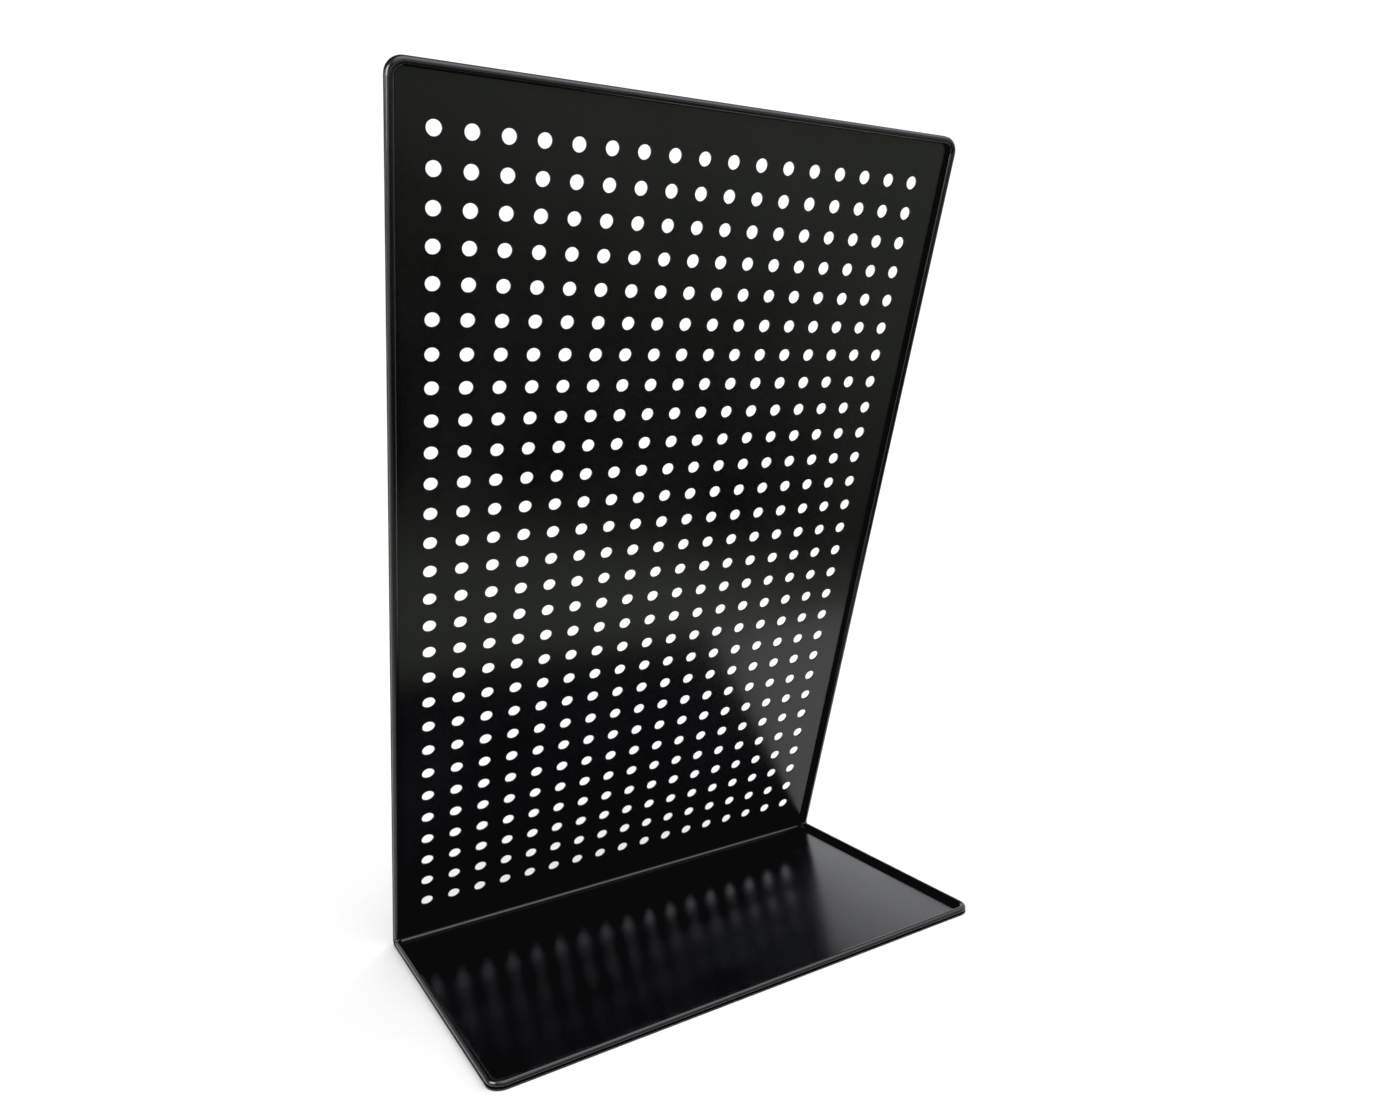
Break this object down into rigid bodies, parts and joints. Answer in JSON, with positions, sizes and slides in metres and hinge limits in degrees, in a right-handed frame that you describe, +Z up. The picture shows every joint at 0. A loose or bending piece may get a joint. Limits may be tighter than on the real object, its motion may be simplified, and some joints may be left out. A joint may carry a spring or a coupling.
{
  "type": "pegboard stand",
  "caption": "Free-standing black steel pegboard stand: a tall perforated board leaning forward over a plain tray, in folded sheet edged with a welded round wire.",
  "frame": {"origin": "on the surface the stand rests on, at mid width and mid tray depth", "axes": "+X across the stand to the right as seen from its open front, +Y from the open front edge of the tray back to the fold, +Z up"},
  "size_m": [0.238, 0.147, 0.3584],
  "materials": {
    "sheet_coat": "semi-gloss black powder coat",
    "wire_coat": "semi-gloss black powder coat"
  },
  "bodies": {
    "root": {"board_sheet": "sheet_coat", "rim_wire": "wire_coat"}
  },
  "joints": []
}
